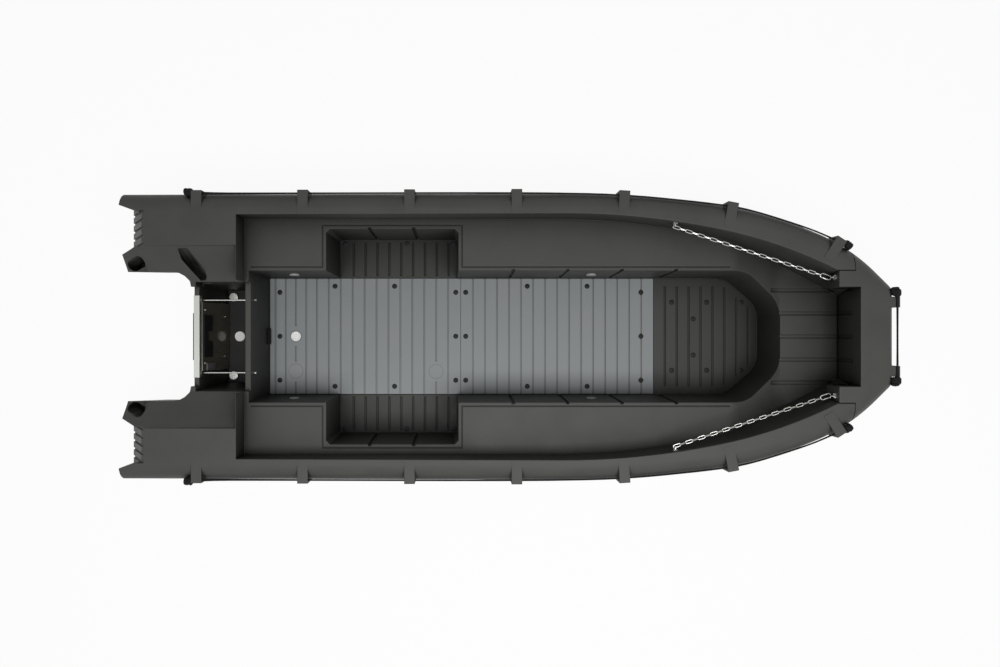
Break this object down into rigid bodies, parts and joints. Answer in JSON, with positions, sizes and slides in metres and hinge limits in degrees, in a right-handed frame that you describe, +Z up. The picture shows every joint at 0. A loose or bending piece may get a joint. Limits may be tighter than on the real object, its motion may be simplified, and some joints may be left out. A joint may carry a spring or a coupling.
{
  "type": "polyethylene workboat with a folding bow door",
  "caption": "Open polyethylene workboat with side benches, a flat cockpit floor, an engine notch at the stern and a bow door on two chains.",
  "frame": {"origin": "on the ground under the middle of the boat's box: halfway along, on the centre line", "axes": "+X to the bow, +Y to port, +Z up"},
  "size_m": [4.955, 1.896, 0.8276],
  "materials": {
    "hull_polyethylene": "moulded, fine grain",
    "floor_plate": "satin grey sheet",
    "stainless": "bright",
    "aluminium_sheet": "brushed",
    "disc_grey": "satin",
    "cap_white": "satin",
    "plate_black": "gloss",
    "pad_black": "satin",
    "rope_black": "braided"
  },
  "bodies": {
    "root": {"hull": "hull_polyethylene", "floor_plate_aft": "floor_plate", "floor_plate_forward": "floor_plate", "plate_fasteners": "pad_black", "inspection_cap": "cap_white", "transom_cap": "aluminium_sheet", "transom_outer_pad": "pad_black", "transom_inner_plate": "plate_black", "transom_inner_pad": "pad_black", "socket_plate": "disc_grey", "tie_rod_port": "stainless", "tie_rod_starboard": "stainless", "drain_bung_port": "stainless", "drain_bung_starboard": "stainless", "drain_block": "pad_black", "splashwell_cap": "cap_white", "wall_discs": "disc_grey", "hull_eye_port": "stainless", "hull_eye_starboard": "stainless", "grab_line_port": "rope_black", "grab_line_starboard": "rope_black", "hinge_hull_leaves": "stainless", "hinge_pins": "stainless"},
    "door": {"bow_door": "hull_polyethylene", "hinge_door_leaves": "stainless", "door_eye_port": "stainless", "door_eye_starboard": "stainless", "grab_line_bow": "rope_black"},
    "chain_port_side": {"chain_port": "stainless", "snap_hook_port": "stainless"},
    "chain_starboard_side": {"chain_starboard": "stainless", "snap_hook_starboard": "stainless"}
  },
  "joints": [
    {"name": "bow_door_fold", "type": "hinge", "parent": "root", "child": "door", "pos_m": [2.27178, 0, 0.49522], "axis": [0, 1, 0], "range_deg": [0, 90]},
    {"name": "chain_port_drop", "type": "hinge", "parent": "root", "child": "chain_port_side", "pos_m": [1.06821, 0.69845, 0.75807], "axis": [0.2974, 0.9233, -0.243], "range_deg": [0, 12]},
    {"name": "chain_starboard_drop", "type": "hinge", "parent": "root", "child": "chain_starboard_side", "pos_m": [1.06821, -0.69845, 0.75807], "axis": [-0.2974, 0.9233, 0.243], "range_deg": [0, 12]}
  ],
  "couplings": [
    {"joint": "chain_port_drop", "follows": "bow_door_fold", "ratio": 0.12778},
    {"joint": "chain_starboard_drop", "follows": "bow_door_fold", "ratio": 0.12778}
  ]
}
